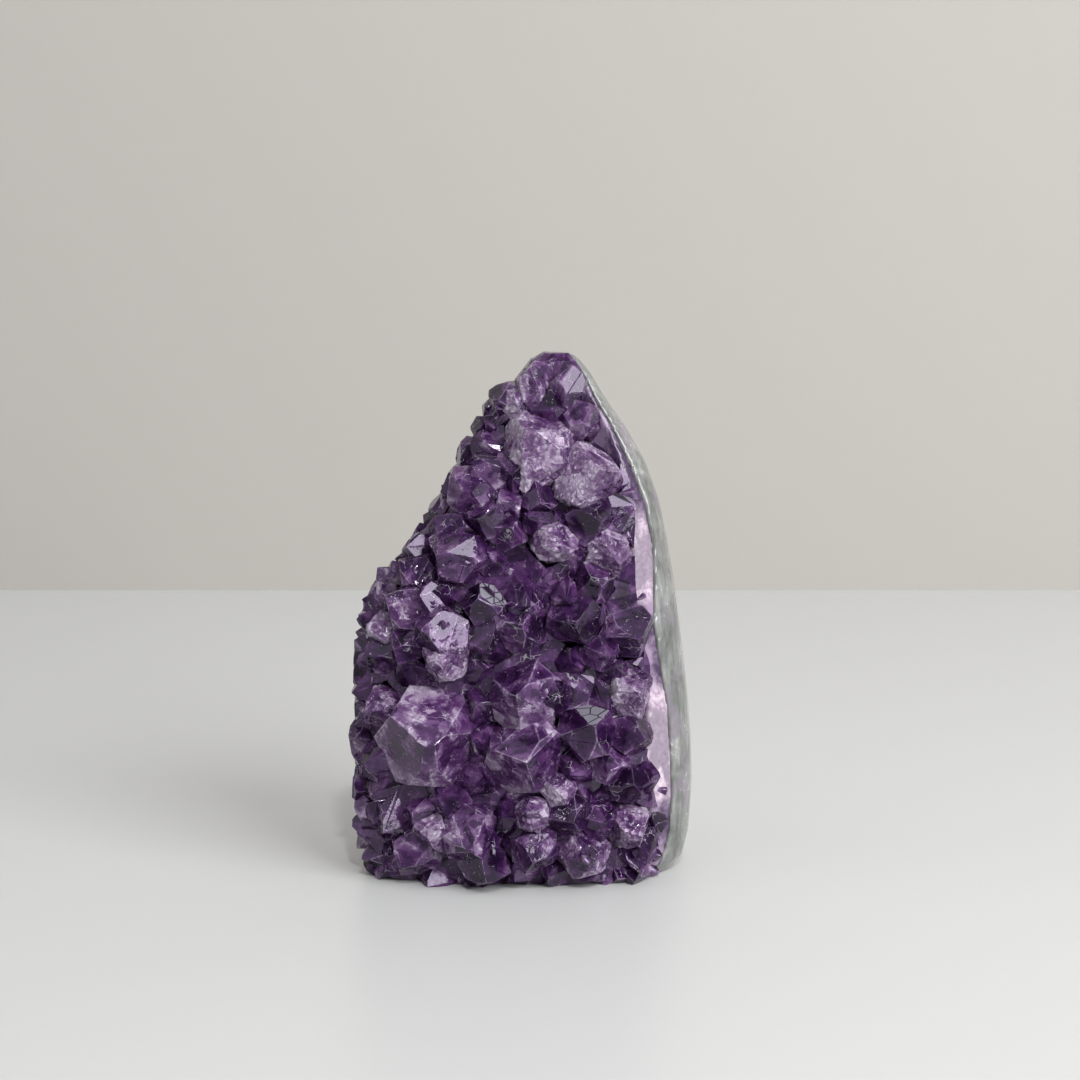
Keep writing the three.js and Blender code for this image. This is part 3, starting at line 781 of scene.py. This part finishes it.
def growthTree(points, material):
    tree = bpy.data.node_groups.new("druse growth", "GeometryNodeTree")
    tree.interface.new_socket("Sheet", in_out="INPUT", socket_type="NodeSocketGeometry")
    for name in ("Spacing", "Smallest", "Largest", "Tilt"):
        tree.interface.new_socket(name, in_out="INPUT", socket_type="NodeSocketFloat")
    tree.interface.new_socket("Seed", in_out="INPUT", socket_type="NodeSocketInt")
    tree.interface.new_socket("Points", in_out="OUTPUT", socket_type="NodeSocketGeometry")
    start = addNode(tree, "NodeGroupInput").socket.node
    given = {socket.name: Signal(tree, socket) for socket in start.outputs if socket.name}

    def put(*words, **more):
        return addNode(tree, *words, **more)

    def chance(low, high, seed):
        return put("FunctionNodeRandomValue", {"data_type": "FLOAT"}, {2: low, 3: high, 8: seed}, out=1)

    places = put("GeometryNodeDistributePointsOnFaces", {"distribute_method": "POISSON"}, {
        "Mesh": given["Sheet"], "Distance Min": given["Spacing"], "Density Max": 1e6, "Seed": given["Seed"],
        "Density Factor": put("GeometryNodeInputNamedAttribute", {"data_type": "FLOAT"}, {"Name": "open"}),
    })
    upright = Signal(tree, places.socket.node.outputs["Rotation"])
    lean = put("ShaderNodeCombineXYZ", {}, {
        0: chance(-1.0, 1.0, 1) * given["Tilt"],
        1: chance(-1.0, 1.0, 2) * given["Tilt"],
        2: chance(0.0, 6.28, 3),
    })
    lean = put("FunctionNodeEulerToRotation", {}, {0: lean})
    turn = put("FunctionNodeRotateRotation", {"rotation_space": "LOCAL"}, {0: upright, 1: lean})
    share = chance(0.0, 1.0, 4)
    size = given["Smallest"] + (given["Largest"] - given["Smallest"]) * share * share
    shapes = put("GeometryNodeCollectionInfo", {"transform_space": "ORIGINAL"}, {
        "Collection": points, "Separate Children": True, "Reset Children": True,
    })
    standing = put("GeometryNodeInstanceOnPoints", {}, {
        "Points": places, "Instance": shapes, "Pick Instance": True, "Rotation": turn, "Scale": size,
    })
    for name, low, high, seed in (("tone", 0.0, 0.75, 5), ("seed", 0.0, 50.0, 6)):
        standing = put("GeometryNodeStoreNamedAttribute", {"data_type": "FLOAT", "domain": "INSTANCE"}, {
            "Geometry": standing, "Name": name, "Value": chance(low, high, seed),
        })
    realized = put("GeometryNodeRealizeInstances", {}, {0: standing})
    finished = put("GeometryNodeSetMaterial", {}, {"Geometry": realized, "Material": material})
    put("NodeGroupOutput", {}, {0: finished})
    return tree


def growDruse():
    points = bpy.data.collections.new("points")
    for number in range(4):
        points.objects.link(pointShape(number))
    sheet = bpy.data.objects.new("sheet", bedSheet())
    bpy.context.scene.collection.objects.link(sheet)
    growth = sheet.modifiers.new("growth", "NODES")
    growth.node_group = growthTree(points, amethyst)
    wanted = {
        "Spacing": druse["spacing"] * mm,
        "Smallest": druse["smallest"] * mm, "Largest": druse["largest"] * mm,
        "Tilt": math.radians(druse["tilt"]), "Seed": druse["seed"],
    }
    for item in growth.node_group.interface.items_tree:
        if item.name in wanted:
            growth[item.identifier] = wanted[item.name]
    mesh = bpy.data.meshes.new_from_object(sheet.evaluated_get(bpy.context.evaluated_depsgraph_get()))
    bpy.data.objects.remove(sheet)
    for piece in list(points.objects):
        bpy.data.objects.remove(piece)
    shape = bmesh.new()
    shape.from_mesh(mesh)
    bmesh.ops.scale(shape, vec=(1000, 1000, 1000), verts=shape.verts)
    cutBy(shape, (-1, 0, 0), -druse["leftEnd"])
    bmesh.ops.scale(shape, vec=(mm, mm, mm), verts=shape.verts)
    for vertex in shape.verts:
        vertex.co.z = max(vertex.co.z, 0)
    shape.to_mesh(mesh)
    shape.free()
    return mesh


smallPoints = growDruse()
addPiece("druse_points", smallPoints, "druse", amethyst)
print("druse grown:", len(smallPoints.polygons), "faces")


studio = {
    "floorColour": (0.545, 0.55, 0.545),
    "wallColour": (0.41, 0.39, 0.365),
    "wallBehind": 0.259,  # metres
    "keyPower": 12,
    "keySize": 0.66,
    "glintPower": 3.6,
    "glintSize": 0.06,
    "skyTop": 0.95,
    "skyBehindCamera": 0.25,
    "keyPlace": (0.62, -0.62, 0.5),
    "glintPlace": (0.1, -0.75, 0.8),
    "elevation": 12,  # degrees that the camera stands above the stone
    "distance": 0.455,
    "lens": 85,
    "aim": (0.0031, 0, 0.0445),  # the stone stands a little left of the middle
    "aimAbove": 1.95,  # degrees, and below it
}


def addPanel(name, corners, colour, rough):
    mesh = bpy.data.meshes.new(name)
    mesh.from_pydata(corners, [], [(0, 1, 2, 3)])
    panel = bpy.data.objects.new(name, mesh)
    bpy.context.scene.collection.objects.link(panel)
    f = Finish(name)
    mesh.materials.append(f.done(f.body(Base_Color=(*colour, 1), Roughness=rough)))


back = studio["wallBehind"]
addPanel("floor", [(-3, -2, 0), (3, -2, 0), (3, back, 0), (-3, back, 0)], studio["floorColour"], 0.35)
addPanel("wall", [(-3, back, 0), (3, back, 0), (3, back, 3), (-3, back, 3)], studio["wallColour"], 0.9)


def addLamp(name, place, power, size):
    lamp = bpy.data.lights.new(name, "AREA")
    lamp.energy, lamp.size = power, size
    holder = bpy.data.objects.new(name, lamp)
    bpy.context.scene.collection.objects.link(holder)
    holder.location = place
    holder.rotation_euler = (Vector((0, 0, 0.045)) - Vector(place)).to_track_quat("-Z", "Y").to_euler()


addLamp("key", studio["keyPlace"], studio["keyPower"], studio["keySize"])
addLamp("glint", studio["glintPlace"], studio["glintPower"], studio["glintSize"])


def makeSky():
    # a pale room, dimmer behind the camera
    world = bpy.data.worlds.new("studio")
    world.use_nodes = True
    tree = world.node_tree
    tree.nodes.clear()
    way = addNode(tree, "ShaderNodeTexCoord", out="Generated")
    toFront = addNode(tree, "ShaderNodeSeparateXYZ", {}, {0: way}, 1) * -1
    strength = addNode(tree, "ShaderNodeMapRange", {"interpolation_type": "SMOOTHSTEP"}, {
        "Value": toFront, "From Min": 0.2, "From Max": 0.95,
        "To Min": studio["skyTop"], "To Max": studio["skyBehindCamera"],
    })
    glow = addNode(tree, "ShaderNodeBackground", {}, {"Color": (0.97, 0.98, 1, 1), "Strength": strength})
    addNode(tree, "ShaderNodeOutputWorld", {}, {"Surface": glow})
    bpy.context.scene.world = world


makeSky()
bpy.context.scene.view_settings.view_transform = "Standard"

camera = bpy.data.cameras.new("camera")
camera.lens, camera.sensor_width = studio["lens"], 36
camera.clip_start = 0.01
holder = bpy.data.objects.new("camera", camera)
bpy.context.scene.collection.objects.link(holder)
slope = math.radians(studio["elevation"])
holder.location = Vector(studio["aim"]) + studio["distance"] * Vector((0, -math.cos(slope), math.sin(slope)))
holder.rotation_euler = (math.radians(90 + studio["aimAbove"]) - slope, 0, 0)
bpy.context.scene.camera = holder
print("studio set")
